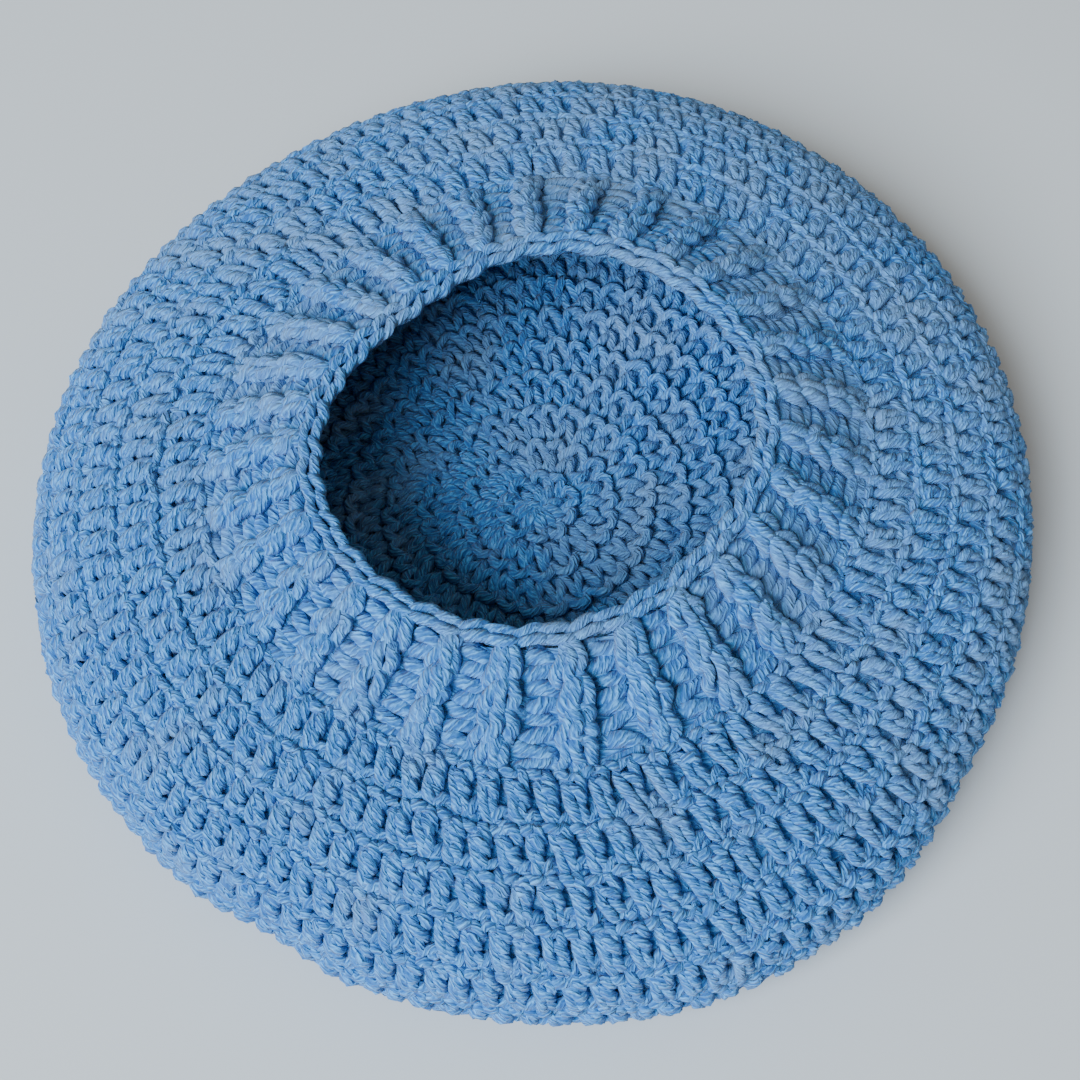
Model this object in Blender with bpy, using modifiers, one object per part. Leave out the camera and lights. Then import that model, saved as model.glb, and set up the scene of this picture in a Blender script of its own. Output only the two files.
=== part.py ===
"""Crocheted tam o' shanter, lying on its crown with the ribbed opening on top.

Metres, +Z up. The origin is on the floor, under the middle of the hat's outline.
Azimuth 0 is the right side of the hat and -90 degrees is its front.
"""
import math
from collections import namedtuple

import bpy
from mathutils import Matrix, Vector

# Driving dimensions
OUTER_DIAMETER = 0.270            # mean width of the outline, at the folded rim
TOTAL_HEIGHT = 0.054              # floor to the top of the edge chain
RIM_HEIGHT = 0.0145               # floor to the widest line of the rim
FLOOR_DIAMETER = 0.216            # the part of the crown that lies flat
OPENING_DIAMETER = 0.106          # clear width inside the edge chain, relaxed
BAND_WIDTH = 0.0265               # ribbed band, measured along its slope
BAND_SLOPE = math.radians(24.0)   # how steeply the band rises to the opening
FABRIC_THICKNESS = 0.0052         # crown and underside, one crocheted layer
BAND_THICKNESS = 0.0048           # ribbed band, between ridge and groove
RIB_COUNT = 30                    # raised ribs round the band
RIB_DEPTH = 0.0032                # top of a rib to the bottom of a groove
CHAIN_THICKNESS = 0.0044          # edge chain round the opening
CHAIN_SCALLOP = 0.0009            # how far each scallop of the chain stands inwards
PIECE_GAP = 0.0003                # between neighbouring pieces

# Fineness of the turned forms
CROWN_STEPS = 90
STEPS_PER_RIB = 6
CHAIN_POINTS_PER_RIB = 5

# Section of the underside: out is the share of the way from the band to the rim,
# up the share of the way from the rim's height to the foot of the band
UndersideRow = namedtuple("UndersideRow", "out up")
UNDERSIDE_ROWS = (
    UndersideRow(out=0.000, up=1.000),
    UndersideRow(out=0.140, up=0.975),
    UndersideRow(out=0.290, up=0.935),
    UndersideRow(out=0.440, up=0.875),
    UndersideRow(out=0.590, up=0.790),
    UndersideRow(out=0.730, up=0.680),
    UndersideRow(out=0.850, up=0.535),
    UndersideRow(out=0.945, up=0.340),
    UndersideRow(out=1.000, up=0.000),
)

# Section of the fold below the rim: out is the share of the way from the flat floor
# to the rim, up the share of the rim's height
FoldRow = namedtuple("FoldRow", "out up")
FOLD_ROWS = (
    FoldRow(out=0.975, up=0.620),
    FoldRow(out=0.870, up=0.330),
    FoldRow(out=0.680, up=0.130),
    FoldRow(out=0.400, up=0.030),
    FoldRow(out=0.000, up=0.000),
)

# Rings of the flat crown, as shares of the flat part's radius
FLOOR_RINGS = (0.82, 0.62, 0.42, 0.22, 0.0)

# Band section: along is the share of its width from the top, height that of the ribs
RibRow = namedtuple("RibRow", "along height")
RIB_ROWS = (
    RibRow(along=0.00, height=0.55),
    RibRow(along=0.30, height=1.00),
    RibRow(along=0.72, height=1.00),
    RibRow(along=1.00, height=0.35),
)

# Waves of an outline: how many go round, and their cosine and sine shares
Wave = namedtuple("Wave", "count cosine sine")
RIM_WAVES = (
    Wave(count=2, cosine=-0.0302, sine=0.0099),
    Wave(count=3, cosine=-0.0122, sine=0.0014),
    Wave(count=4, cosine=0.0021, sine=0.0028),
    Wave(count=5, cosine=0.0038, sine=0.0021),
)
OPENING_WAVES = (
    Wave(count=1, cosine=0.0166, sine=-0.0790),
    Wave(count=2, cosine=-0.0074, sine=0.0655),
    Wave(count=3, cosine=-0.0058, sine=-0.0106),
    Wave(count=4, cosine=0.0149, sine=-0.0015),
)
# Turn of the stitches, in radians: they lie closer together at the left front
STITCH_DRIFT = (
    Wave(count=1, cosine=0.007, sine=0.080),
    Wave(count=2, cosine=0.027, sine=-0.010),
)

# Dents: azimuth and half_width in degrees, out and half_reach as shares of the way
# from the band to the rim, drop as a share of the underside's rise
Dent = namedtuple("Dent", "azimuth half_width out half_reach drop")
UNDERSIDE_DENTS = (
    Dent(azimuth=231.0, half_width=8.0, out=0.45, half_reach=0.75, drop=0.080),
    Dent(azimuth=8.0, half_width=34.0, out=0.40, half_reach=0.60, drop=0.085),
    Dent(azimuth=120.0, half_width=30.0, out=0.45, half_reach=0.60, drop=0.050),
)
# Dents of the rim's outline, inwards, as a share of the outer radius
RimDent = namedtuple("RimDent", "azimuth half_width depth")
RIM_DENTS = (
    RimDent(azimuth=242.0, half_width=10.0, depth=0.016),
    RimDent(azimuth=322.0, half_width=18.0, depth=0.010),
)

# Worked out from the driving dimensions
OUTER_RADIUS = OUTER_DIAMETER / 2
OPENING_RADIUS = OPENING_DIAMETER / 2
FLOOR_RADIUS = FLOOR_DIAMETER / 2
CHAIN_RADIUS = CHAIN_THICKNESS / 2
# Section points are (radius, height)
DOWN_SLOPE = Vector((math.cos(BAND_SLOPE), -math.sin(BAND_SLOPE)))
SLOPE_NORMAL = Vector((math.sin(BAND_SLOPE), math.cos(BAND_SLOPE)))
CHAIN_CENTRE = Vector((OPENING_RADIUS + CHAIN_SCALLOP + CHAIN_RADIUS,
                       TOTAL_HEIGHT - CHAIN_RADIUS))
BAND_TOP = (CHAIN_CENTRE + SLOPE_NORMAL * CHAIN_RADIUS
            + DOWN_SLOPE * (CHAIN_RADIUS + PIECE_GAP))
BAND_FOOT = BAND_TOP + DOWN_SLOPE * BAND_WIDTH
UNDERSIDE_START = BAND_FOOT + DOWN_SLOPE * PIECE_GAP
UNDERSIDE_REACH = OUTER_RADIUS - UNDERSIDE_START.x
UNDERSIDE_RISE = UNDERSIDE_START.y - RIM_HEIGHT

# Yarn finish
YARN_COLOUR = (0.102, 0.238, 0.429, 1.0)
YARN_ROUGHNESS = 0.9
MERGE_DISTANCE = 0.00001


def clear_scene():
    """Removes whatever the scene holds."""
    for item in list(bpy.data.objects):
        bpy.data.objects.remove(item, do_unlink=True)


def yarn_material(name):
    """Light blue matt yarn."""
    material = bpy.data.materials.new(name)
    material.use_nodes = True
    shader = material.node_tree.nodes["Principled BSDF"]
    shader.inputs["Base Color"].default_value = YARN_COLOUR
    shader.inputs["Roughness"].default_value = YARN_ROUGHNESS
    shader.inputs["Metallic"].default_value = 0.0
    return material


def eased(value):
    """Share that leaves 0 and reaches 1 softly."""
    share = min(max(value, 0.0), 1.0)
    return share * share * (3.0 - 2.0 * share)


def hill(distance, half_width):
    """1 in the middle, sinking softly to 0 at half_width."""
    return 1.0 - eased(abs(distance) / half_width)


def angle_between(azimuth, degrees):
    """Difference in degrees between an azimuth in radians and one in degrees."""
    return (math.degrees(azimuth) - degrees + 180.0) % 360.0 - 180.0


def wave_share(waves, azimuth):
    """Sum of the waves at an azimuth."""
    return sum(wave.cosine * math.cos(wave.count * azimuth)
               + wave.sine * math.sin(wave.count * azimuth) for wave in waves)


def rim_share(azimuth):
    """How far the rim stands out from its mean circle, as a share of its radius."""
    share = wave_share(RIM_WAVES, azimuth)
    for dent in RIM_DENTS:
        share -= dent.depth * hill(angle_between(azimuth, dent.azimuth), dent.half_width)
    return share


def underside_drop(radius, azimuth):
    """How far the dents of the underside lower it at a place."""
    out = (radius - UNDERSIDE_START.x) / UNDERSIDE_REACH
    drop = 0.0
    for dent in UNDERSIDE_DENTS:
        across = hill(angle_between(azimuth, dent.azimuth), dent.half_width)
        drop += dent.drop * across * hill(out - dent.out, dent.half_reach)
    return drop * UNDERSIDE_RISE


def settled(point):
    """Where a point of the round hat lies in the real one, soft and uneven."""
    radius = math.hypot(point.x, point.y)
    turned = math.atan2(point.y, point.x)
    azimuth = turned + wave_share(STITCH_DRIFT, turned)
    upper = eased(point.z / UNDERSIDE_START.y)
    rim_shift = OUTER_RADIUS * rim_share(azimuth)
    opening_shift = OPENING_RADIUS * wave_share(OPENING_WAVES, azimuth)
    inward = (OUTER_RADIUS - radius) / (OUTER_RADIUS - OPENING_RADIUS)
    lower_shift = rim_shift * radius / OUTER_RADIUS
    upper_shift = rim_shift + (opening_shift - rim_shift) * inward
    settled_radius = radius + lower_shift + (upper_shift - lower_shift) * upper
    height = point.z - underside_drop(radius, azimuth) * upper
    return Vector((settled_radius * math.cos(azimuth), settled_radius * math.sin(azimuth), height))


def rib_height(along):
    """Share of the full rib height, along the band from its top to its foot."""
    for upper, lower in zip(RIB_ROWS, RIB_ROWS[1:]):
        if along <= lower.along:
            share = max(along - upper.along, 0.0) / (lower.along - upper.along)
            return upper.height + (lower.height - upper.height) * share
    return RIB_ROWS[-1].height


def ribbed(point):
    """Moves a point of the smooth band square to its slope, out on a rib or into a groove."""
    section = Vector((math.hypot(point.x, point.y), point.z))
    turned = math.atan2(point.y, point.x)
    along = (section - BAND_TOP).dot(DOWN_SLOPE) / BAND_WIDTH
    lift = -math.cos(RIB_COUNT * turned) * rib_height(along) * RIB_DEPTH / 2
    section += SLOPE_NORMAL * lift
    return Vector((section.x * math.cos(turned), section.x * math.sin(turned), section.y))


def turned_wall(name, section, steps, thickness):
    """Turns a section about Z into an open surface and thickens it inwards into a wall."""
    points = [(point.x, 0.0, point.y) for point in section]
    edges = [(index, index + 1) for index in range(len(points) - 1)]
    profile_mesh = bpy.data.meshes.new(name + "_profile")
    profile_mesh.from_pydata(points, edges, [])
    profile = bpy.data.objects.new(name + "_profile", profile_mesh)
    bpy.context.scene.collection.objects.link(profile)

    screw = profile.modifiers.new("turn", "SCREW")
    screw.steps = steps
    screw.render_steps = steps
    screw.use_merge_vertices = True
    screw.merge_threshold = MERGE_DISTANCE
    wall = profile.modifiers.new("wall", "SOLIDIFY")
    wall.thickness = thickness
    wall.offset = -1.0
    wall.use_even_offset = True

    graph = bpy.context.evaluated_depsgraph_get()
    mesh = bpy.data.meshes.new_from_object(profile.evaluated_get(graph))
    mesh.name = name
    bpy.data.objects.remove(profile, do_unlink=True)
    bpy.data.meshes.remove(profile_mesh)
    return mesh


def crown_section():
    """Outer side of the crown, from the foot of the band over the rim to the centre."""
    section = [Vector((UNDERSIDE_START.x + row.out * UNDERSIDE_REACH,
                       RIM_HEIGHT + row.up * UNDERSIDE_RISE)) for row in UNDERSIDE_ROWS]
    for row in FOLD_ROWS:
        radius = FLOOR_RADIUS + row.out * (OUTER_RADIUS - FLOOR_RADIUS)
        section.append(Vector((radius, row.up * RIM_HEIGHT)))
    for share in FLOOR_RINGS:
        section.append(Vector((share * FLOOR_RADIUS, 0.0)))
    return section


def add_object(name, data, collection):
    """Places data in the collection, in yarn of its own."""
    item = bpy.data.objects.new(name, data)
    data.materials.append(yarn_material(name + "_yarn"))
    collection.objects.link(item)
    return item


def build_crown(collection):
    """Flat crown, folded rim and underside, one crocheted wall open at the band."""
    mesh = turned_wall("crown", crown_section(), CROWN_STEPS, FABRIC_THICKNESS)
    for vertex in mesh.vertices:
        vertex.co = settled(vertex.co)
    mesh.shade_smooth()
    return add_object("crown", mesh, collection)


def build_band(collection):
    """Ribbed band that rises from the underside to the opening."""
    section = [BAND_TOP + DOWN_SLOPE * (row.along * BAND_WIDTH) for row in RIB_ROWS]
    mesh = turned_wall("ribbed_band", section, RIB_COUNT * STEPS_PER_RIB, BAND_THICKNESS)
    for vertex in mesh.vertices:
        vertex.co = settled(ribbed(vertex.co))
    mesh.shade_smooth()
    return add_object("ribbed_band", mesh, collection)


def build_edge_chain(collection):
    """Chain that closes the band's top, with a scallop between each pair of ribs."""
    count = RIB_COUNT * CHAIN_POINTS_PER_RIB
    curve = bpy.data.curves.new("edge_chain", "CURVE")
    curve.dimensions = "3D"
    curve.bevel_depth = CHAIN_RADIUS
    curve.bevel_resolution = 1
    spline = curve.splines.new("POLY")
    spline.points.add(count - 1)
    spline.use_cyclic_u = True
    spline.use_smooth = True
    for index, point in enumerate(spline.points):
        turned = 2 * math.pi * index / count
        scallop = CHAIN_SCALLOP * (1 + math.cos(RIB_COUNT * turned)) / 2
        radius = CHAIN_CENTRE.x - scallop
        place = Vector((radius * math.cos(turned), radius * math.sin(turned), CHAIN_CENTRE.y))
        point.co = (*settled(place), 1.0)
    return add_object("edge_chain", curve, collection)


def outline_middle(mesh):
    """Middle of a mesh's outline seen from above."""
    across = [vertex.co.x for vertex in mesh.vertices]
    deep = [vertex.co.y for vertex in mesh.vertices]
    return Vector(((min(across) + max(across)) / 2, (min(deep) + max(deep)) / 2, 0.0))


def build_hat():
    """The three worked sections of the hat, centred on the origin."""
    collection = bpy.data.collections.new("tam_o_shanter")
    bpy.context.scene.collection.children.link(collection)
    crown = build_crown(collection)
    band = build_band(collection)
    chain = build_edge_chain(collection)
    centring = Matrix.Translation(-outline_middle(crown.data))
    for item in (crown, band, chain):
        item.data.transform(centring)


clear_scene()
build_hat()
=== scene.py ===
import math
from collections import namedtuple

import bpy
import numpy as np
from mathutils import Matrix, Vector


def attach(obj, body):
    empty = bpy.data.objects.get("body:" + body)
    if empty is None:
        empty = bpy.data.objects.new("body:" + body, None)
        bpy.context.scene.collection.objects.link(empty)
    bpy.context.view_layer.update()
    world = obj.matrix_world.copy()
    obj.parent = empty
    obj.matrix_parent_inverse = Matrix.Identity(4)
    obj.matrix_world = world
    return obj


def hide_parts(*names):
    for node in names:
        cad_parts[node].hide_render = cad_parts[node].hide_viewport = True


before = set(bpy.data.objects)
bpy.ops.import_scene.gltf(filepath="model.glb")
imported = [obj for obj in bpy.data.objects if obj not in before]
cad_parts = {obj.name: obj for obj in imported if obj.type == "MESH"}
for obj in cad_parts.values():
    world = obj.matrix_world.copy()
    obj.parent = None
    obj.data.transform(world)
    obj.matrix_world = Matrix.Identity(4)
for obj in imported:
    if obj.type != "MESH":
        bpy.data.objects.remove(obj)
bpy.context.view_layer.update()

# Driving dimensions, in metres
OUTER_DIAMETER = 0.270
TOTAL_HEIGHT = 0.054
RIM_HEIGHT = 0.0145
FLOOR_DIAMETER = 0.216
OPENING_DIAMETER = 0.106
BAND_WIDTH = 0.0265
BAND_SLOPE = math.radians(24.0)
RIB_COUNT = 30
RIB_DEPTH = 0.0032
CHAIN_THICKNESS = 0.0044
CHAIN_SCALLOP = 0.0009
PIECE_GAP = 0.0003
YARN_DIAMETER = 0.0029
BAND_HEM = 0.0024                  # the band's lowest round reaches this far over the crown
BAND_TUCK = 0.0016                 # the crown's last round goes this far under it
RIB_YARN_DIAMETER = 0.0036         # posts of the ribs, loosely twisted and puffier
CHAIN_YARN_DIAMETER = 0.0029

OUTER_RADIUS = OUTER_DIAMETER / 2
OPENING_RADIUS = OPENING_DIAMETER / 2
FLOOR_RADIUS = FLOOR_DIAMETER / 2
CHAIN_RADIUS = CHAIN_THICKNESS / 2
DOWN_SLOPE = np.array((math.cos(BAND_SLOPE), -math.sin(BAND_SLOPE)))
SLOPE_NORMAL = np.array((math.sin(BAND_SLOPE), math.cos(BAND_SLOPE)))
CHAIN_CENTRE = np.array((OPENING_RADIUS + CHAIN_SCALLOP + CHAIN_RADIUS,
                         TOTAL_HEIGHT - CHAIN_RADIUS))
BAND_TOP = (CHAIN_CENTRE + SLOPE_NORMAL * CHAIN_RADIUS
            + DOWN_SLOPE * (CHAIN_RADIUS + PIECE_GAP))
BAND_FOOT = BAND_TOP + DOWN_SLOPE * BAND_WIDTH
UNDERSIDE_START = BAND_FOOT + DOWN_SLOPE * PIECE_GAP
UNDERSIDE_REACH = OUTER_RADIUS - UNDERSIDE_START[0]
UNDERSIDE_RISE = UNDERSIDE_START[1] - RIM_HEIGHT

# Section of the hat: shares of the way out and up, as in the solids, and on the floor
# shares of its radius
SectionRow = namedtuple("SectionRow", "out up")
UNDERSIDE_ROWS = (
    SectionRow(out=0.000, up=1.000),
    SectionRow(out=0.140, up=0.975),
    SectionRow(out=0.290, up=0.935),
    SectionRow(out=0.440, up=0.875),
    SectionRow(out=0.590, up=0.790),
    SectionRow(out=0.730, up=0.680),
    SectionRow(out=0.850, up=0.535),
    SectionRow(out=0.945, up=0.340),
    SectionRow(out=1.000, up=0.000),
)
FOLD_ROWS = (
    SectionRow(out=0.975, up=0.620),
    SectionRow(out=0.870, up=0.330),
    SectionRow(out=0.680, up=0.130),
    SectionRow(out=0.400, up=0.030),
    SectionRow(out=0.000, up=0.000),
)
FLOOR_ROWS = (0.0, 0.22, 0.42, 0.62, 0.82)

# Outline: waves that go round, and dents in degrees and shares
Wave = namedtuple("Wave", "count cosine sine")
RIM_WAVES = (
    Wave(count=2, cosine=-0.0302, sine=0.0099),
    Wave(count=3, cosine=-0.0122, sine=0.0014),
    Wave(count=4, cosine=0.0021, sine=0.0028),
    Wave(count=5, cosine=0.0038, sine=0.0021),
)
OPENING_WAVES = (
    Wave(count=1, cosine=0.0166, sine=-0.0790),
    Wave(count=2, cosine=-0.0074, sine=0.0655),
    Wave(count=3, cosine=-0.0058, sine=-0.0106),
    Wave(count=4, cosine=0.0149, sine=-0.0015),
)
STITCH_DRIFT = (
    Wave(count=1, cosine=0.007, sine=0.080),
    Wave(count=2, cosine=0.027, sine=-0.010),
)
# The underside's stitches lie closer together at the front, wider at the left
ROUND_DRIFT = (
    Wave(count=1, cosine=-0.055, sine=-0.030),
    Wave(count=2, cosine=0.0, sine=0.031),
)
Dent = namedtuple("Dent", "azimuth half_width out half_reach drop")
UNDERSIDE_DENTS = (
    Dent(azimuth=231.0, half_width=8.0, out=0.45, half_reach=0.75, drop=0.080),
    Dent(azimuth=8.0, half_width=34.0, out=0.40, half_reach=0.60, drop=0.085),
    Dent(azimuth=120.0, half_width=30.0, out=0.45, half_reach=0.60, drop=0.050),
)
RimDent = namedtuple("RimDent", "azimuth half_width depth")
RIM_DENTS = (
    RimDent(azimuth=242.0, half_width=10.0, depth=0.016),
    RimDent(azimuth=322.0, half_width=18.0, depth=0.010),
)

# Yarn paths. One stitch is 0 to 1 along the round (x) and 0 to 1 up its height (y);
# z is outwards, in units of the fabric's relief. The yarn runs on into the next stitch.
Knot = namedtuple("Knot", "x y z")
STITCH_PATH = (
    Knot(-0.30, 0.04, 0.00),
    Knot(-0.16, 0.13, 0.24),
    Knot(0.04, 0.23, 0.34),
    Knot(0.22, 0.29, 0.24),
    Knot(0.36, 0.18, -0.10),
    Knot(0.26, 0.06, 0.12),
    Knot(0.08, 0.04, 0.26),
    Knot(0.00, 0.12, -0.20),
    Knot(0.24, 0.50, -0.50),
    Knot(0.34, 0.76, 0.05),
    Knot(0.48, 0.71, 0.54),
    Knot(0.66, 0.61, 0.66),
    Knot(0.78, 0.49, 0.40),
    Knot(0.72, 0.40, -0.20),
    Knot(0.56, 0.50, 0.20),
    Knot(0.68, 0.38, 0.55),
    Knot(0.82, 0.26, 0.44),
    Knot(0.92, 0.12, 0.06),
    Knot(0.84, 0.04, -0.40),
    Knot(0.74, 0.00, -0.05),
    Knot(0.64, 0.11, 0.32),
    Knot(0.50, 0.29, 0.56),
    Knot(0.38, 0.50, 0.56),
    Knot(0.30, 0.70, 0.42),
    Knot(0.20, 0.84, 0.00),
    Knot(-0.06, 0.90, -0.40),
    Knot(-0.26, 0.94, 0.05),
    Knot(-0.08, 0.97, 0.46),
    Knot(0.18, 0.95, 0.54),
    Knot(0.38, 0.93, 0.26),
    Knot(0.52, 0.98, 0.40),
    Knot(0.66, 0.93, 0.56),
    Knot(0.76, 0.80, 0.48),
    Knot(0.78, 0.64, 0.05),
    Knot(0.84, 0.84, -0.50),
    Knot(0.62, 0.98, -0.68),
    Knot(0.38, 0.84, -0.66),
    Knot(0.36, 0.52, -0.62),
    Knot(0.52, 0.22, -0.60),
)
# The same for the side that is seen inside the hat, where z is towards the inside
INSIDE_PATH = (
    Knot(-0.08, 0.50, -0.30),
    Knot(-0.05, 0.68, 0.12),
    Knot(0.08, 0.86, 0.54),
    Knot(0.30, 0.97, 0.72),
    Knot(0.55, 0.97, 0.72),
    Knot(0.76, 0.86, 0.54),
    Knot(0.88, 0.68, 0.12),
    Knot(0.82, 0.50, -0.25),
    Knot(0.60, 0.62, -0.20),
    Knot(0.48, 0.66, 0.10),
    Knot(0.38, 0.48, 0.34),
    Knot(0.26, 0.28, 0.38),
    Knot(0.12, 0.12, 0.22),
    Knot(0.10, 0.00, -0.15),
    Knot(0.34, -0.04, -0.25),
    Knot(0.66, -0.02, -0.20),
    Knot(0.92, 0.04, 0.04),
    Knot(0.84, 0.20, 0.34),
    Knot(0.72, 0.38, 0.40),
    Knot(0.60, 0.58, 0.18),
    Knot(0.60, 0.78, -0.30),
    Knot(0.30, 0.92, -0.52),
    Knot(0.06, 0.78, -0.50),
    Knot(0.30, 0.46, -0.56),
    Knot(0.60, 0.16, -0.54),
    Knot(0.86, 0.32, -0.46),
)
# One rib and the groove on its right, over one round of the band
RIB_PATH = (
    Knot(0.28, -0.14, 0.05),
    Knot(0.29, 0.12, 0.86),
    Knot(0.32, 0.46, 1.12),
    Knot(0.38, 0.82, 1.06),
    Knot(0.45, 1.06, 0.50),
    Knot(0.46, 0.50, -0.05),
    Knot(0.47, -0.08, 0.50),
    Knot(0.46, 0.20, 1.20),
    Knot(0.47, 0.55, 1.32),
    Knot(0.48, 0.90, 1.20),
    Knot(0.50, 1.10, 0.60),
    Knot(0.56, 1.02, 0.92),
    Knot(0.61, 0.82, 1.12),
    Knot(0.64, 0.54, 1.08),
    Knot(0.64, 0.24, 0.86),
    Knot(0.62, -0.02, 0.30),
    Knot(0.70, 0.06, -0.50),
    Knot(0.80, 0.16, -0.08),
    Knot(0.92, 0.22, 0.20),
    Knot(1.05, 0.30, 0.16),
    Knot(1.18, 0.37, -0.10),
    Knot(1.18, 0.60, -0.60),
    Knot(0.86, 0.92, -0.55),
    Knot(0.80, 0.84, -0.10),
    Knot(0.92, 0.78, 0.23),
    Knot(1.06, 0.71, 0.18),
    Knot(1.19, 0.64, -0.10),
    Knot(1.27, 0.33, -0.60),
)
# Share of the ribs' full relief, by the share of the band's width from its top
RIB_RELIEF = ((0.0, 0.30, 0.72, 1.0), (0.55, 1.0, 1.0, 0.35))
# One loop of the edge chain: x along it, y outwards from the opening, z up
CHAIN_PATH = (
    Knot(0.00, 0.02, -0.80),
    Knot(0.14, 0.40, -0.15),
    Knot(0.50, 0.66, 0.34),
    Knot(0.94, 0.62, 0.40),
    Knot(1.22, 0.34, -0.05),
    Knot(1.26, -0.15, -0.50),
    Knot(1.14, -0.62, -0.20),
    Knot(0.84, -0.86, 0.18),
    Knot(0.42, -0.62, 0.32),
    Knot(0.12, -0.34, 0.02),
    Knot(0.10, 0.00, -0.90),
    Knot(0.55, 0.05, -1.10),
)

# How the stitches lie in the crown's fabric: relief is how far z = 1 stands out, middle is
# how deep z = 0 lies, and face is 1 on the outer side and -1 on the inner one. Samples are
# the points of yarn in one stitch, and unevenness is how far its knots stray.
Fabric = namedtuple("Fabric", "path samples unevenness relief middle face")
FLOOR_FABRIC = Fabric(path=INSIDE_PATH, samples=40, unevenness=0.10,
                      relief=0.0040, middle=0.0047, face=-1)
RIM_FABRIC = Fabric(path=STITCH_PATH, samples=56, unevenness=0.09,
                    relief=0.0034, middle=0.0027, face=1)
UNDERSIDE_FABRIC = Fabric(path=STITCH_PATH, samples=56, unevenness=0.09,
                          relief=0.0035, middle=0.0025, face=1)

# Rounds of the crown, from the middle of its floor over the rim to the band
FLOOR_ROUNDS = 12
RIM_ROUNDS = 2
STITCHES_GAINED = 10.5             # stitches that each round of the floor adds
UNDERSIDE_STITCHES = (124, 118, 108, 96, 84)
UNDERSIDE_ROUND = 0.0115           # height of one of the underside's rounds
CROWN_WANDER = (0.10, 0.035)       # slow drift of a round along it and up, in stitches
FLAT_AZIMUTH = 75.0                # degrees; the fabric lies flatter round this side, the back
FLAT_HALF_WIDTH = 115.0
FLAT_SHARE = 0.38
Round = namedtuple("Round", "stitches start end fabric")
# Pieces that the rounds make up, each with its first round and the one after its last
Piece = namedtuple("Piece", "name first after")
CROWN_PIECES = (
    Piece("crown_middle", first=0, after=7),
    Piece("crown_outer", first=7, after=10),
    Piece("crown_edge", first=10, after=12),
    Piece("rim", first=12, after=14),
    Piece("underside_outer", first=14, after=17),
    Piece("underside_inner", first=17, after=19),
)

# Ribbed band
BAND_ROUNDS = 4
RIB_SAMPLES = 96
RIB_UNEVENNESS = 0.065
RIB_WANDER = (0.05, 0.06)
RIB_MIDDLE = 0.47                  # where a rib's middle lies along its path
RIB_LEVEL = 0.5                    # z of the yarn that lies level with the band's wall
RIB_THINNING = 0.3                 # z at which the yarn of a rib is half as much fuller

# Edge chain
CHAIN_LOOPS = 2 * RIB_COUNT
CHAIN_SAMPLES = 48
CHAIN_UNEVENNESS = 0.04
CHAIN_THINNING = -0.5              # z at which the chain's yarn is half as much fuller

# Yarn
YARN_SIDES = 5
PLY_COUNT = 6                      # plies that are counted once round the yarn
PLY_SPACING = 0.00150              # way along the yarn from one ply to the next
FULLNESS = 1.22                    # how much fuller the strands deep in the fabric are
FULLNESS_SPAN = 0.5                # change of z over which they thin out
SPOT_STEP = 5                      # points of yarn from one thicker or thinner spot to the next
SPOT_SHARE = 0.07                  # how much thicker or thinner a spot is
SPOT_LIMIT = 2.0                   # and how many times as much it can be
KNOT_SPREAD = np.array((0.5, 0.4, 0.6))   # how far knots stray along, up and outwards
KNOT_STEPS = 24                    # steps from knot to knot that the samples are chosen from
PATH_SCALE = (1.0, 1.6, 0.5)       # a stitch's width, height and relief, for measuring its yarn
HIDDEN_BELOW = -0.05               # yarn below this height is hidden
HIDDEN_SHARE = 0.5                 # and gets this share of the samples
START_SIDE = (0.3, 0.2, 1.0)       # a direction that no round's yarn starts along
SECTION_STEPS = 16                 # steps from point to point of a section line
OUTLINE_POINTS = 91                # points round the rim that give the outline's middle
SEED = 11

# Matted core inside the fabric: depths of its outer and inner side, and its ridges and
# grooves under the ribs as shares of their relief
CORE_STEPS = 120                   # steps round it
CORE_TURNS = np.linspace(0, 2 * math.pi, CORE_STEPS, endpoint=False)
CORE_YARN = (0.2, 0.004)           # how much yarn one face shows: turns round it, metres along
CORE_HOLE = 0.0006                 # radius of the hole in the middle of the crown's
FLOOR_CORE = (0.0024, 0.0048)
UNDERSIDE_CORE = (0.0027, 0.0044)
CORE_CHANGE = 0.020                # way round the fold over which the one becomes the other
CROWN_CORE_ROWS = 48
BAND_CORE_ROWS = 14
BAND_CORE_THICKNESS = 0.0012
CORE_RIDGE = 0.85
CORE_GROOVE = 0.60

# Tones of the yarn: painted shade in the grooves between its plies, its own colour on the plies
# and painted highlight on their highest fibres, and the height of the plies and fibres at
# which each is reached
YARN_TONES_WITH_PAINTED_LIGHT = ((0.017, 0.108, 0.355), (0.039, 0.198, 0.508), (0.098, 0.402, 0.840))
TONE_STEPS = (0.31, 0.50, 0.70)
BAND_PAINTED_SHADE = 0.97                   # painted shade: the band's tones are this much darker than the same yarn's elsewhere
YARN_SURFACE = {
    "Roughness": 0.88,
    "Metallic": 0.0,
    "Specular IOR Level": 0.18,
    "Sheen Weight": 0.17,
    "Sheen Roughness": 0.55,
    "Sheen Tint": (0.90, 0.92, 0.95, 1.0),
}
PLY_NOISE = {"Scale": 0.7, "Detail": 2.0}
PLY_WANDER = 2.4                   # how far the plies stray, in plies
PLY_SHARE = 0.12                   # how much the plies show through the fibres
FIBRE_NOISE = {"Scale": 1.0, "Detail": 3.0, "Roughness": 0.55}
FIBRE_STRETCH = (1.5, 0.55, 1.0)   # how close the fibres lie across and along the plies
YARN_BUMP = {"Strength": 1.0, "Distance": 0.0011}
# Loose fibres that lie over the yarn in patches look greyer, and the same grey is painted sheen
# towards the far side
FUZZ_AND_SHEEN_TONE = (0.165, 0.300, 0.500)
FUZZ_NOISE = {"Scale": 55.0, "Detail": 3.0}
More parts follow.
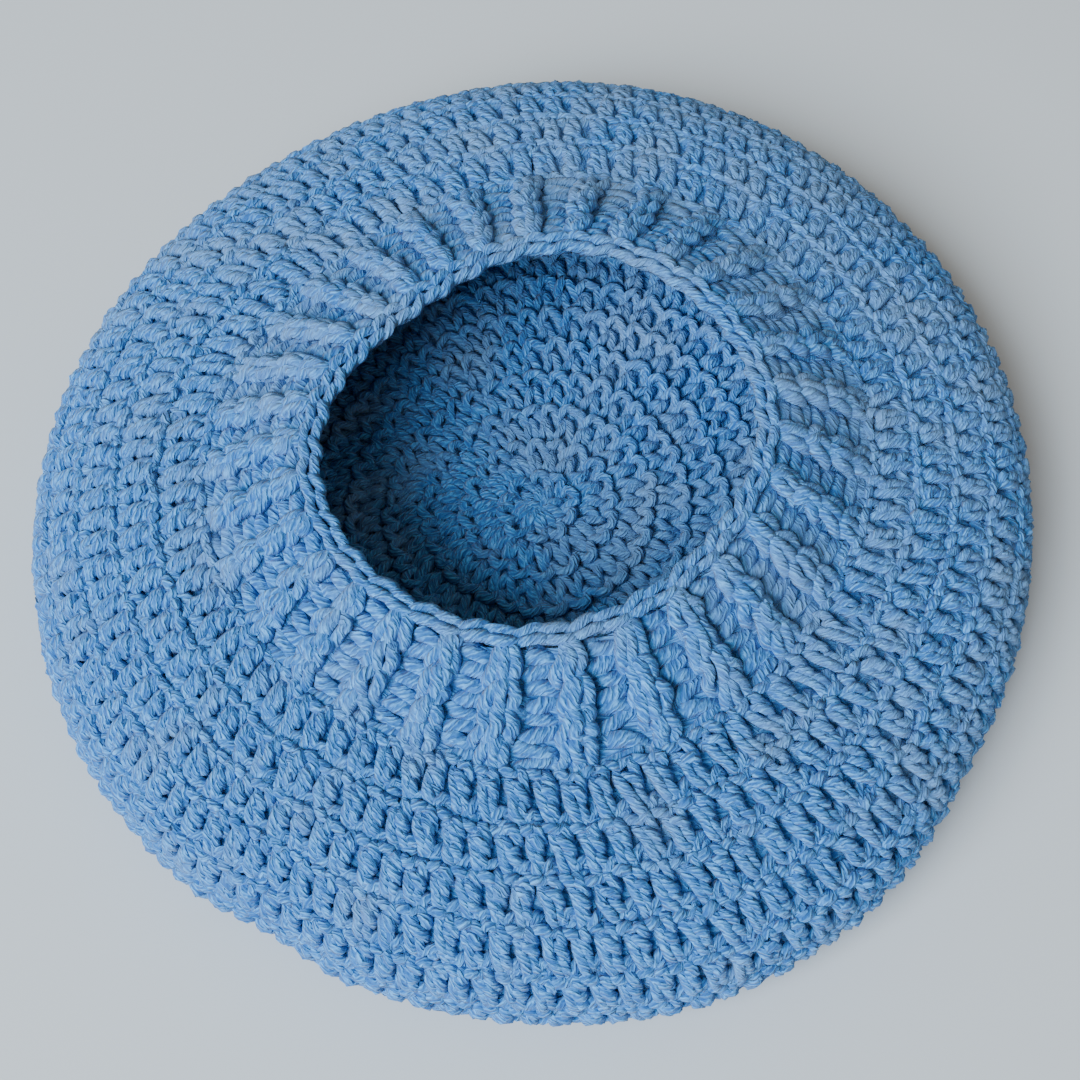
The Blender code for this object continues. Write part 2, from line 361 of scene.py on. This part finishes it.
# Where the fuzz and the painted sheen start, where they are full, and how much of the yarn they
# then hide
FUZZ_AND_SHEEN_RANGE = {"From Min": 0.46, "From Max": 0.72, "To Max": 0.55}
# Painted sheen: the grey thickens towards the far right and back, away from the window and seen
# at a grazing angle, by this much for each metre
PAINTED_SHEEN_SIDE = (0.45, 0.72, 0.0)

# The pale surface that the hat lies on
STAGE_REACH = 3.0
STAGE_COLOUR = (0.56, 0.58, 0.60)
STAGE_ROUGHNESS = 0.9

# The even light of the room, and one soft window at the left and front
ROOM_COLOUR = (1.0, 0.90, 0.75)
ROOM_STRENGTH = 0.38
WINDOW_AZIMUTH = math.radians(230.0)
WINDOW_ELEVATION = math.radians(40.0)
WINDOW_DISTANCE = 2.6
WINDOW_SIZE = 1.75
WINDOW_POWER = 168.0
WINDOW_COLOUR = (0.76, 0.89, 1.0)

# The photo's view: the camera looks down at LOOK_AT from the front
CAMERA_ELEVATION = math.radians(61.27)
CAMERA_DISTANCE = 0.470
CAMERA_LENS = 57.674
CAMERA_SENSOR = 36.0
CAMERA_NEAR = 0.01
LOOK_AT = Vector((0.00117, -0.00681, 0.0))


def eased(value):
    """Share that leaves 0 and reaches 1 softly."""
    share = np.clip(value, 0.0, 1.0)
    return share * share * (3.0 - 2.0 * share)


def hill(distance, half_width):
    """1 in the middle, sinking softly to 0 at half_width."""
    return 1.0 - eased(np.abs(distance) / half_width)


def angle_between(azimuth, degrees):
    """Difference in degrees between azimuths in radians and one in degrees."""
    return (np.degrees(azimuth) - degrees + 180.0) % 360.0 - 180.0


def wave_share(waves, azimuth):
    """Sum of the waves at each azimuth."""
    total = np.zeros_like(azimuth)
    for wave in waves:
        total += wave.cosine * np.cos(wave.count * azimuth)
        total += wave.sine * np.sin(wave.count * azimuth)
    return total


def rim_share(azimuth):
    """How far the rim stands out from its mean circle, as a share of its radius."""
    share = wave_share(RIM_WAVES, azimuth)
    for dent in RIM_DENTS:
        share -= dent.depth * hill(angle_between(azimuth, dent.azimuth), dent.half_width)
    return share


def underside_drop(radius, azimuth):
    """How far the dents of the underside lower it at each place."""
    out = (radius - UNDERSIDE_START[0]) / UNDERSIDE_REACH
    drop = np.zeros_like(radius)
    for dent in UNDERSIDE_DENTS:
        across = hill(angle_between(azimuth, dent.azimuth), dent.half_width)
        drop += dent.drop * across * hill(out - dent.out, dent.half_reach)
    return drop * UNDERSIDE_RISE


def settled(radius, height, turned):
    """Where points of the round hat lie in the real one, soft and uneven."""
    azimuth = turned + wave_share(STITCH_DRIFT, turned)
    upper = eased(height / UNDERSIDE_START[1])
    rim_shift = OUTER_RADIUS * rim_share(azimuth)
    opening_shift = OPENING_RADIUS * wave_share(OPENING_WAVES, azimuth)
    inward = (OUTER_RADIUS - radius) / (OUTER_RADIUS - OPENING_RADIUS)
    lower_shift = rim_shift * radius / OUTER_RADIUS
    upper_shift = rim_shift + (opening_shift - rim_shift) * inward
    settled_radius = radius + lower_shift + (upper_shift - lower_shift) * upper
    settled_height = height - underside_drop(radius, azimuth) * upper
    return np.stack((settled_radius * np.cos(azimuth), settled_radius * np.sin(azimuth),
                     settled_height), axis=-1)


def outline_middle():
    """Middle of the hat's outline, which the solids are centred on."""
    turned = np.linspace(-math.pi, math.pi, OUTLINE_POINTS)
    rim = settled(np.full_like(turned, OUTER_RADIUS), np.full_like(turned, RIM_HEIGHT), turned)
    middle = (rim.min(axis=0) + rim.max(axis=0)) / 2
    return np.array((middle[0], middle[1], 0.0))


def curve_weights(steps):
    """Weights of four points in a row, at each step from the second to the third."""
    share = np.arange(steps) / steps
    return np.stack((-share + 2 * share ** 2 - share ** 3,
                     2 - 5 * share ** 2 + 3 * share ** 3,
                     share + 4 * share ** 2 - 3 * share ** 3,
                     -share ** 2 + share ** 3), axis=1) / 2


def smooth_line(points, steps):
    """A smooth line through points, as a dense row of points."""
    points = np.asarray(points)
    weights = curve_weights(steps)
    around = np.vstack((2 * points[0] - points[1], points, 2 * points[-1] - points[-2]))
    pieces = [weights @ around[index:index + 4] for index in range(len(points) - 1)]
    return np.vstack(pieces + [points[-1:]])


class Section:
    """A section line of the fabric, by the way along it and the depth inside it."""

    def __init__(self, points):
        self.line = smooth_line(points, SECTION_STEPS)
        steps = np.linalg.norm(np.diff(self.line, axis=0), axis=1)
        self.along = np.concatenate(((0.0,), np.cumsum(steps)))
        self.length = self.along[-1]
        heading = np.gradient(self.line, self.along, axis=0)
        heading /= np.linalg.norm(heading, axis=1)[:, None]
        self.inward = np.stack((-heading[:, 1], heading[:, 0]), axis=1)

    def place(self, along, turned, depth):
        """Points of the settled hat; past its ends the line runs straight on."""
        extra = along - np.clip(along, 0.0, self.length)
        inside = along - extra
        radius = np.interp(inside, self.along, self.line[:, 0])
        height = np.interp(inside, self.along, self.line[:, 1])
        inward = [np.interp(inside, self.along, self.inward[:, axis]) for axis in (0, 1)]
        radius = radius + inward[0] * depth + inward[1] * extra
        height = height + inward[1] * depth - inward[0] * extra
        return settled(radius, height, turned) - MIDDLE


def crown_line():
    """Outer side of the crown, from the middle of the floor to the foot of the band."""
    floor = [(share * FLOOR_RADIUS, 0.0) for share in FLOOR_ROWS]
    fold = [(FLOOR_RADIUS + row.out * (OUTER_RADIUS - FLOOR_RADIUS), row.up * RIM_HEIGHT)
            for row in reversed(FOLD_ROWS)]
    underside = [(UNDERSIDE_START[0] + row.out * UNDERSIDE_REACH,
                  RIM_HEIGHT + row.up * UNDERSIDE_RISE) for row in reversed(UNDERSIDE_ROWS)]
    return floor + fold + underside


MIDDLE = outline_middle()
CROWN = Section(crown_line())
BAND = Section([BAND_FOOT + (BAND_TOP - BAND_FOOT) * share for share in (0.0, 0.5, 1.0)])


def path_weights(path, count):
    """Weights that turn a stitch's knots into points, closer together on the seen face."""
    size = len(path)
    weights = np.zeros((size, KNOT_STEPS, size + 3))
    for index in range(size):
        weights[index, :, index:index + 4] = curve_weights(KNOT_STEPS)
    weights = weights.reshape(-1, size + 3)
    knots = np.array(path, dtype=float) * PATH_SCALE
    following = knots + (1, 0, 0)
    dense = weights @ np.vstack((knots[-1:] - (1, 0, 0), knots, following[:2]))
    steps = np.linalg.norm(np.diff(np.vstack((dense, following[:1])), axis=0), axis=1)
    steps *= np.where(dense[:, 2] > HIDDEN_BELOW, 1.0, HIDDEN_SHARE)
    along = np.concatenate(((0.0,), np.cumsum(steps)))
    wanted = np.linspace(0.0, along[-1], count, endpoint=False)
    nearest = np.clip(np.searchsorted(along, wanted), 0, len(dense) - 1)
    return weights[nearest]


def yarn_points(path, stitches, samples, unevenness, random):
    """Path coordinates of a whole round, one row of samples for each stitch."""
    knots = np.array(path, dtype=float)
    spread = KNOT_SPREAD * unevenness
    varied = knots[None] + random.normal(size=(stitches, len(path), 3)) * spread
    varied[:, :, 0] += np.arange(stitches)[:, None]
    turn = np.array((stitches, 0.0, 0.0))
    following = np.roll(varied, -1, axis=0)
    following[-1] += turn
    leading = np.roll(varied, 1, axis=0)
    leading[0] -= turn
    around = np.concatenate((leading[:, -1:], varied, following[:, :2]), axis=1)
    points = np.einsum("sk,nkc->nsc", path_weights(path, samples), around)
    return points.reshape(-1, 3)


def add_wander(points, stitches, amounts, random):
    """Lets a round drift slowly along it and up, by amounts in stitches."""
    reached = points[:, 0].copy()
    for axis, amount in enumerate(amounts):
        drift = random.normal(size=stitches) * amount
        points[:, axis] += np.interp(reached, np.arange(stitches), drift, period=stitches)


def yarn_radius(diameter, height, random):
    """Radius of the yarn: fuller deep in the fabric, and softly uneven along its way."""
    spots = random.normal(size=len(height) // SPOT_STEP)
    reached = np.arange(len(height)) / SPOT_STEP
    uneven = np.interp(reached, np.arange(len(spots)), spots, period=len(spots))
    uneven = np.clip(uneven, -SPOT_LIMIT, SPOT_LIMIT)
    fuller = 1 + (FULLNESS - 1) * eased(0.5 - height / FULLNESS_SPAN)
    return diameter / 2 * fuller * (1 + SPOT_SHARE * uneven)


def closed_grid(rows, columns):
    """Faces between rows and columns of vertices that close on themselves both ways."""
    row, column = np.arange(rows)[:, None], np.arange(columns)[None]
    next_row, next_column = (row + 1) % rows, (column + 1) % columns
    faces = (row * columns + next_column, next_row * columns + next_column,
             next_row * columns + column, row * columns + column)
    return np.stack(faces, axis=-1).reshape(-1, 4)


def corner_coordinates(around, along):
    """Yarn coordinates of the corners of each face of a grid, from those of its lines."""
    left, right = around[None, :-1], around[None, 1:]
    low, high = along[:-1, None], along[1:, None]
    corners = [np.stack(np.broadcast_arrays(side, way), axis=-1)
               for side, way in ((right, low), (right, high), (left, high), (left, low))]
    return np.stack(corners, axis=2).reshape(-1, 2)


def level_sides(tangent):
    """Directions across a closed line that turn only as it does and meet at its ends."""
    side = np.zeros_like(tangent)
    current = np.cross(tangent[0], START_SIDE)
    for index, heading in enumerate(tangent):
        current = current - heading * current.dot(heading)
        current /= math.sqrt(current.dot(current))
        side[index] = current
    closing = side[-1] - tangent[0] * side[-1].dot(tangent[0])
    closing /= np.linalg.norm(closing)
    twist = math.atan2(side[0].dot(np.cross(tangent[0], closing)), side[0].dot(closing))
    turn = (twist * np.arange(len(side)) / len(side))[:, None]
    return side * np.cos(turn) + np.cross(tangent, side) * np.sin(turn)


def tube(points, radius):
    """Vertices, faces and yarn coordinates of a closed tube along a closed line."""
    ahead = np.roll(points, -1, axis=0)
    tangent = ahead - np.roll(points, 1, axis=0)
    tangent /= np.linalg.norm(tangent, axis=1)[:, None]
    first = level_sides(tangent)
    second = np.cross(tangent, first)
    angle = (2 * math.pi * np.arange(YARN_SIDES) / YARN_SIDES)[None, :, None]
    ring = first[:, None] * np.cos(angle) + second[:, None] * np.sin(angle)
    vertices = points[:, None] + ring * radius[:, None, None]
    way = np.concatenate(((0.0,), np.cumsum(np.linalg.norm(ahead - points, axis=1))))
    coordinates = corner_coordinates(np.arange(YARN_SIDES + 1) / YARN_SIDES, way)
    return vertices.reshape(-1, 3), closed_grid(len(points), YARN_SIDES), coordinates


def crown_rounds():
    """Rounds of the crown from its centre over the rim to the band, in metres along it."""
    rounds = []
    underside_start = CROWN.length - BAND_HEM - len(UNDERSIDE_STITCHES) * UNDERSIDE_ROUND
    height = underside_start / (FLOOR_ROUNDS + RIM_ROUNDS)
    for index in range(FLOOR_ROUNDS + RIM_ROUNDS):
        stitches = round(STITCHES_GAINED * min(index + 1, FLOOR_ROUNDS))
        fabric = FLOOR_FABRIC if index < FLOOR_ROUNDS else RIM_FABRIC
        start = index * height
        rounds.append(Round(stitches, start, start + height, fabric))
    for index, stitches in enumerate(UNDERSIDE_STITCHES):
        start = underside_start + index * UNDERSIDE_ROUND
        rounds.append(Round(stitches, start, start + UNDERSIDE_ROUND, UNDERSIDE_FABRIC))
    rounds[-1] = rounds[-1]._replace(end=rounds[-1].end + BAND_TUCK)
    return rounds


def stitch_round(item, random):
    """One round of the crown as a closed tube of yarn."""
    fabric = item.fabric
    points = yarn_points(fabric.path, item.stitches, fabric.samples, fabric.unevenness, random)
    add_wander(points, item.stitches, CROWN_WANDER, random)
    turned = 2 * math.pi * (points[:, 0] + random.random()) / item.stitches
    relief = np.full_like(turned, fabric.relief)
    if fabric.face > 0:
        turned = turned + wave_share(ROUND_DRIFT, turned)
        relief *= 1 - FLAT_SHARE * hill(angle_between(turned, FLAT_AZIMUTH), FLAT_HALF_WIDTH)
    along = item.start + points[:, 1] * (item.end - item.start)
    depth = fabric.middle - fabric.face * points[:, 2] * relief
    radius = yarn_radius(YARN_DIAMETER, points[:, 2], random)
    return tube(CROWN.place(along, turned, depth), radius)


def rib_relief(along):
    """Share of the ribs' full relief at each way up the band."""
    return np.interp(1 - along / BAND_WIDTH, *RIB_RELIEF)


def band_round(index, random):
    """One round of the ribbed band as a closed tube of yarn."""
    points = yarn_points(RIB_PATH, RIB_COUNT, RIB_SAMPLES, RIB_UNEVENNESS, random)
    add_wander(points, RIB_COUNT, RIB_WANDER, random)
    turned = 2 * math.pi * points[:, 0] / RIB_COUNT
    along = (index + points[:, 1]) * (BAND_WIDTH + BAND_HEM) / BAND_ROUNDS - BAND_HEM
    relief = rib_relief(along) * RIB_DEPTH
    depth = RIB_YARN_DIAMETER / 2 - (points[:, 2] - RIB_LEVEL) * relief
    radius = yarn_radius(RIB_YARN_DIAMETER, points[:, 2] - RIB_THINNING, random)
    return tube(BAND.place(along, turned, depth), radius)


def edge_round(random):
    """The edge chain as a closed tube of yarn."""
    points = yarn_points(CHAIN_PATH, CHAIN_LOOPS, CHAIN_SAMPLES, CHAIN_UNEVENNESS, random)
    turned = 2 * math.pi * points[:, 0] / CHAIN_LOOPS
    scallop = CHAIN_SCALLOP * (1 + np.cos(RIB_COUNT * turned)) / 2
    radius = CHAIN_CENTRE[0] - scallop + points[:, 1] * CHAIN_RADIUS
    height = CHAIN_CENTRE[1] + points[:, 2] * CHAIN_RADIUS
    thickness = yarn_radius(CHAIN_YARN_DIAMETER, points[:, 2] - CHAIN_THINNING, random)
    return tube(settled(radius, height, turned) - MIDDLE, thickness)


def core_ring(section, along, outer, inner):
    """Closed ring of matted yarn between two depths of a section's fabric."""
    shape = (len(along), CORE_STEPS)
    turned = np.tile(CORE_TURNS, len(along))
    sheets = []
    for depth in (outer, inner):
        depths = np.broadcast_to(depth, shape).ravel()
        places = section.place(np.repeat(along, CORE_STEPS), turned, depths)
        sheets.append(places.reshape(shape + (3,)))
    vertices = np.concatenate((sheets[0], sheets[1][::-1]))
    rows = len(vertices)
    coordinates = corner_coordinates(np.arange(CORE_STEPS + 1) * CORE_YARN[0],
                                     np.arange(rows + 1) * CORE_YARN[1])
    return vertices.reshape(-1, 3), closed_grid(rows, CORE_STEPS), coordinates


def crown_core(rounds):
    """Matted inner part of the crown's fabric, seen only through its holes."""
    along = np.linspace(CORE_HOLE, CROWN.length - BAND_HEM, CROWN_CORE_ROWS)
    fold = rounds[FLOOR_ROUNDS - 1].end
    share = eased((along - fold + CORE_CHANGE / 2) / CORE_CHANGE)[:, None]
    outer, inner = [floor + share * (underside - floor)
                    for floor, underside in zip(FLOOR_CORE, UNDERSIDE_CORE)]
    return core_ring(CROWN, along, outer, inner)


def band_core():
    """Matted inner part of the band's fabric, ribbed like it."""
    along = np.linspace(-BAND_HEM - BAND_TUCK, BAND_WIDTH, BAND_CORE_ROWS)
    ridge = (1 + np.cos(RIB_COUNT * CORE_TURNS - 2 * math.pi * RIB_MIDDLE)) / 2
    relief = rib_relief(along)[:, None] * RIB_DEPTH
    outer = RIB_YARN_DIAMETER / 2 - (CORE_RIDGE * ridge[None] - CORE_GROOVE) * relief
    return core_ring(BAND, along, outer, outer + BAND_CORE_THICKNESS)


def fill_sockets(tree, node, sockets):
    """Sets each socket of a node to a value, or links it to the output that is given."""
    for socket, value in sockets.items():
        if isinstance(value, bpy.types.NodeSocket):
            tree.links.new(value, node.inputs[socket])
        else:
            node.inputs[socket].default_value = value


def add_node(tree, kind, sockets):
    """A node of a material with its sockets filled."""
    node = tree.nodes.new(kind)
    fill_sockets(tree, node, sockets)
    return node


def add_math(tree, operation, *values):
    """Output of one sum of a material, from numbers and other outputs."""
    node = tree.nodes.new("ShaderNodeMath")
    node.operation = operation
    fill_sockets(tree, node, dict(enumerate(values)))
    return node.outputs[0]


def yarn_relief(tree):
    """Height of the yarn's plies and fibres, by the way round and along it."""
    place = tree.nodes.new("ShaderNodeUVMap")
    place.uv_map = "yarn"
    across = add_node(tree, "ShaderNodeSeparateXYZ", {"Vector": place.outputs["UV"]})
    stray = add_node(tree, "ShaderNodeTexNoise", {"Vector": place.outputs["UV"], **PLY_NOISE})
    strayed = add_math(tree, "MULTIPLY_ADD",
                       stray.outputs["Fac"], PLY_WANDER, across.outputs["X"])
    plies = add_math(tree, "SINE", add_math(tree, "MULTIPLY", strayed, 2 * math.pi))
    stretched = add_node(tree, "ShaderNodeMapping",
                         {"Vector": place.outputs["UV"], "Scale": FIBRE_STRETCH})
    fibres = add_node(tree, "ShaderNodeTexNoise",
                      {"Vector": stretched.outputs["Vector"], **FIBRE_NOISE})
    return add_math(tree, "MULTIPLY_ADD", plies, PLY_SHARE, fibres.outputs["Fac"])


def fuzz_and_sheen_share(tree):
    """How much loose fibres hide the yarn in patches, and painted sheen that thickens towards
    one side.
    """
    place = tree.nodes.new("ShaderNodeTexCoord").outputs["Object"]
    patches = add_node(tree, "ShaderNodeTexNoise", {"Vector": place, **FUZZ_NOISE})
    # Painted sheen: the grey grows towards the far right and back
    far = tree.nodes.new("ShaderNodeVectorMath")
    far.operation = "DOT_PRODUCT"
    fill_sockets(tree, far, {0: place, 1: PAINTED_SHEEN_SIDE})
    fuzz_and_sheen_level = add_math(tree, "ADD", far.outputs["Value"], patches.outputs["Fac"])
    share = add_node(tree, "ShaderNodeMapRange", {"Value": fuzz_and_sheen_level, **FUZZ_AND_SHEEN_RANGE})
    return share.outputs["Result"]


def yarn_material(name, depth=1.0):
    """Light blue twisted yarn with a soft fuzz and painted sheen, painted shade and highlight
    on its plies, and its tones darkened by depth as painted shade.
    """
    material = bpy.data.materials.new(name)
    material.use_nodes = True
    tree = material.node_tree
    relief = yarn_relief(tree)
    # The ramp paints shade into the grooves between the plies and highlight onto their highest
    # fibres
    ramp = add_node(tree, "ShaderNodeValToRGB", {"Fac": relief})
    steps = ramp.color_ramp.elements
    steps.new(TONE_STEPS[1])
    for step, position, tone in zip(steps, TONE_STEPS, YARN_TONES_WITH_PAINTED_LIGHT):
        step.position = position
        # depth darkens every tone; for the band this is painted shade
        step.color = tuple(value * depth for value in tone) + (1.0,)
    # Mixes in the grey of loose fibres and of painted sheen
    fuzz = tree.nodes.new("ShaderNodeMix")
    fuzz.data_type = "RGBA"
    fill_sockets(tree, fuzz, {"Factor": fuzz_and_sheen_share(tree), "A": ramp.outputs["Color"],
                              "B": FUZZ_AND_SHEEN_TONE + (1.0,)})
    bump = add_node(tree, "ShaderNodeBump", {"Height": relief, **YARN_BUMP})
    shader = tree.nodes["Principled BSDF"]
    fill_sockets(tree, shader, {"Base Color": fuzz.outputs["Result"],
                                "Normal": bump.outputs["Normal"], **YARN_SURFACE})
    return material


def add_yarn(name, tubes, material, node):
    """One piece of the looks from its tubes of yarn."""
    vertices, faces, coordinates = [], [], []
    offset = 0
    for tube_vertices, tube_faces, tube_coordinates in tubes:
        vertices.append(tube_vertices)
        faces.append(tube_faces + offset)
        coordinates.append(tube_coordinates)
        offset += len(tube_vertices)
    vertices, faces = np.concatenate(vertices), np.concatenate(faces)
    around, along = np.concatenate(coordinates).T

    mesh = bpy.data.meshes.new(name)
    mesh.vertices.add(len(vertices))
    mesh.vertices.foreach_set("co", vertices.astype(np.float32).ravel())
    mesh.loops.add(faces.size)
    mesh.loops.foreach_set("vertex_index", faces.astype(np.int32).ravel())
    mesh.polygons.add(len(faces))
    mesh.polygons.foreach_set("loop_start", np.arange(0, faces.size, 4, dtype=np.int32))
    mesh.update(calc_edges=True)
    layer = mesh.uv_layers.new(name="yarn")
    twisted = np.stack((around * PLY_COUNT + along / PLY_SPACING, along / PLY_SPACING), axis=1)
    layer.uv.foreach_set("vector", twisted.astype(np.float32).ravel())
    mesh.shade_smooth()
    mesh.validate()
    mesh.materials.append(material)
    item = bpy.data.objects.new(name, mesh)
    bpy.context.scene.collection.objects.link(item)
    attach(item, "root")
    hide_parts(node)
    return item


def build_looks():
    """The three sections of the hat in yarn."""
    random = np.random.default_rng(SEED)
    crown = yarn_material("crown_yarn")
    # The band's yarn is the same yarn with darker tones: painted shade
    band = yarn_material("band_yarn", depth=BAND_PAINTED_SHADE)
    edge = yarn_material("edge_yarn")
    rounds = crown_rounds()
    for piece in CROWN_PIECES:
        tubes = [stitch_round(item, random) for item in rounds[piece.first:piece.after]]
        add_yarn(piece.name, tubes, crown, "crown")
    tubes = [band_round(index, random) for index in range(BAND_ROUNDS)]
    add_yarn("band_rounds", tubes, band, "ribbed_band")
    add_yarn("crown_core", [crown_core(rounds)], crown, "crown")
    add_yarn("band_core", [band_core()], band, "ribbed_band")
    add_yarn("edge_loops", [edge_round(random)], edge, "edge_chain")


def build_floor():
    """Plain pale surface."""
    mesh = bpy.data.meshes.new("floor")
    corners = [(across * STAGE_REACH, back * STAGE_REACH, 0.0)
               for across, back in ((-1, -1), (1, -1), (1, 1), (-1, 1))]
    mesh.from_pydata(corners, [], [(0, 1, 2, 3)])
    material = bpy.data.materials.new("floor_paint")
    material.use_nodes = True
    shader = material.node_tree.nodes["Principled BSDF"]
    shader.inputs["Base Color"].default_value = STAGE_COLOUR + (1.0,)
    shader.inputs["Roughness"].default_value = STAGE_ROUGHNESS
    mesh.materials.append(material)
    floor = bpy.data.objects.new("floor", mesh)
    bpy.context.scene.collection.objects.link(floor)


def build_room():
    """Even light from all round."""
    world = bpy.data.worlds.new("studio")
    world.use_nodes = True
    background = world.node_tree.nodes["Background"]
    background.inputs["Color"].default_value = ROOM_COLOUR + (1.0,)
    background.inputs["Strength"].default_value = ROOM_STRENGTH
    bpy.context.scene.world = world


def build_window():
    """A soft square light that looks at the hat."""
    data = bpy.data.lights.new("window", "AREA")
    data.shape = "SQUARE"
    data.size = WINDOW_SIZE
    data.energy = WINDOW_POWER
    data.color = WINDOW_COLOUR
    away = Vector((math.cos(WINDOW_AZIMUTH) * math.cos(WINDOW_ELEVATION),
                   math.sin(WINDOW_AZIMUTH) * math.cos(WINDOW_ELEVATION),
                   math.sin(WINDOW_ELEVATION)))
    light = bpy.data.objects.new("window", data)
    light.location = away * WINDOW_DISTANCE
    light.rotation_euler = (-away).to_track_quat("-Z", "Y").to_euler()
    bpy.context.scene.collection.objects.link(light)


def build_camera():
    """The camera at the photo's angle."""
    data = bpy.data.cameras.new("photo_view")
    data.sensor_width = CAMERA_SENSOR
    data.lens = CAMERA_LENS
    data.clip_start = CAMERA_NEAR
    camera = bpy.data.objects.new("photo_view", data)
    away = Vector((0.0, -math.cos(CAMERA_ELEVATION), math.sin(CAMERA_ELEVATION)))
    camera.location = LOOK_AT + away * CAMERA_DISTANCE
    camera.rotation_euler = (-away).to_track_quat("-Z", "Y").to_euler()
    bpy.context.scene.collection.objects.link(camera)
    bpy.context.scene.camera = camera


build_looks()
build_floor()
build_room()
build_window()
build_camera()
